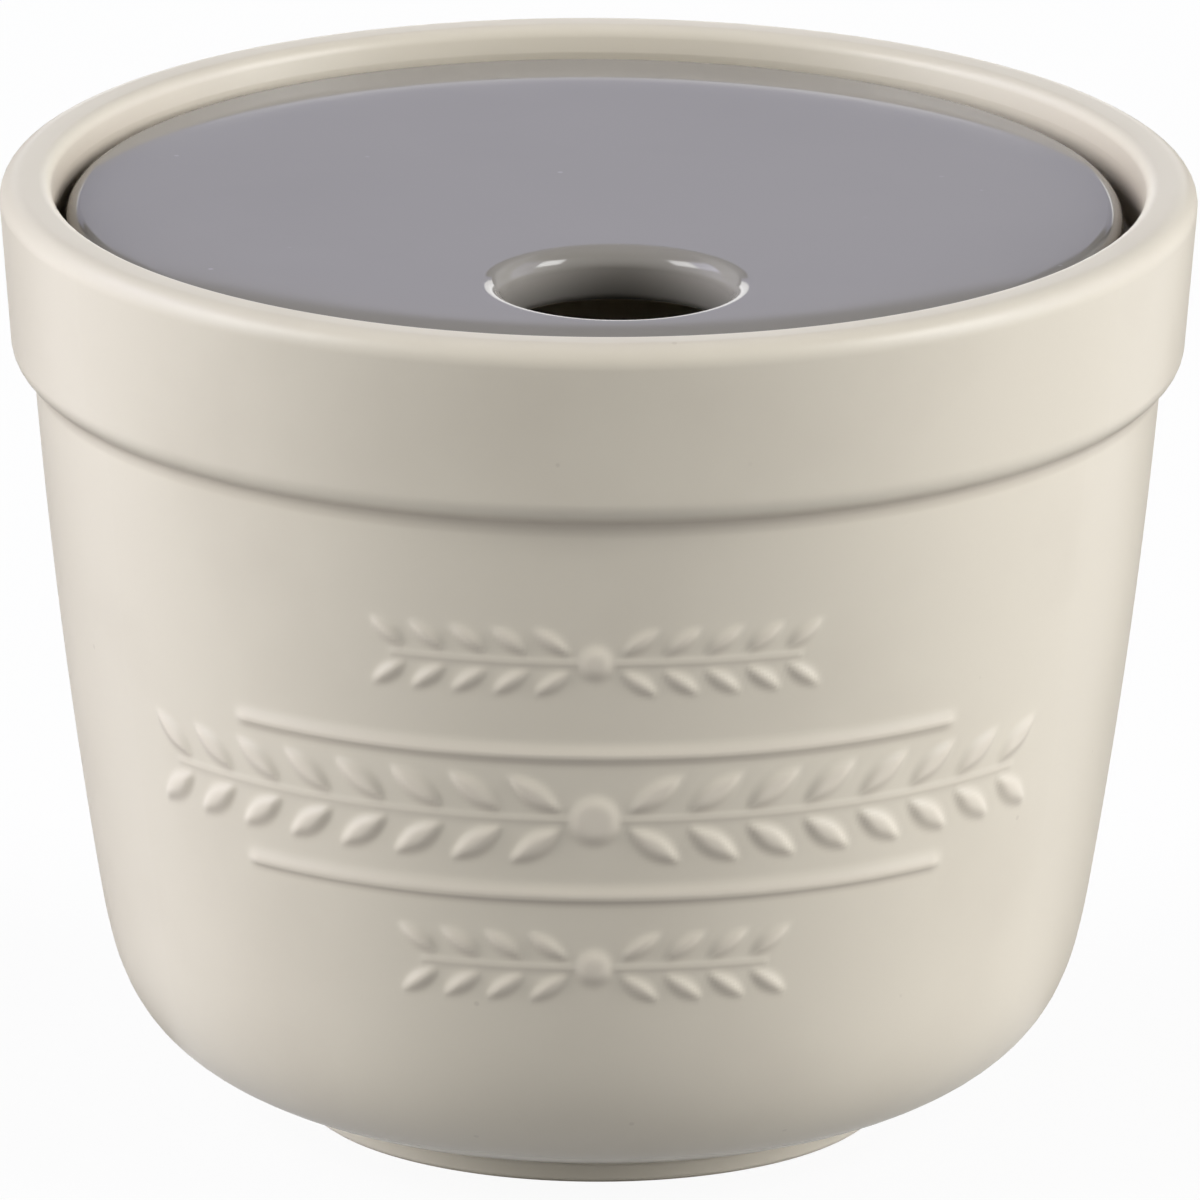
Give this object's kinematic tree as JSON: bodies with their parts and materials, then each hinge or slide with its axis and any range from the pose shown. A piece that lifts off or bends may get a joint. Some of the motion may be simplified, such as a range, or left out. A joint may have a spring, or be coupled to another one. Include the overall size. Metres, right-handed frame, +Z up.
{
  "type": "garlic keeper",
  "caption": "Round stoneware garlic keeper with a thick collar, a raised garland on its front and a sunk lid with a finger hole.",
  "frame": {"origin": "centre of the foot ring, on the surface that the pot stands on", "axes": "+Z up through the middle of the pot; -Y is the front, with the raised garland and the lid's finger hole; +X to the right seen from the front"},
  "size_m": [0.12, 0.12, 0.0962],
  "materials": {
    "cream_glaze": "warm cream glossy glaze, softened over the raised garland, bare clay under the foot ring",
    "grey_glaze": "even mid-grey glossy glaze"
  },
  "bodies": {
    "pot": {"pot": "cream_glaze"},
    "lid": {"lid": "grey_glaze"}
  },
  "joints": [
    {"name": "lid_lift", "type": "slide", "parent": "pot", "child": "lid", "axis": [0, 0, 1], "range_m": [0, 0.06]}
  ]
}
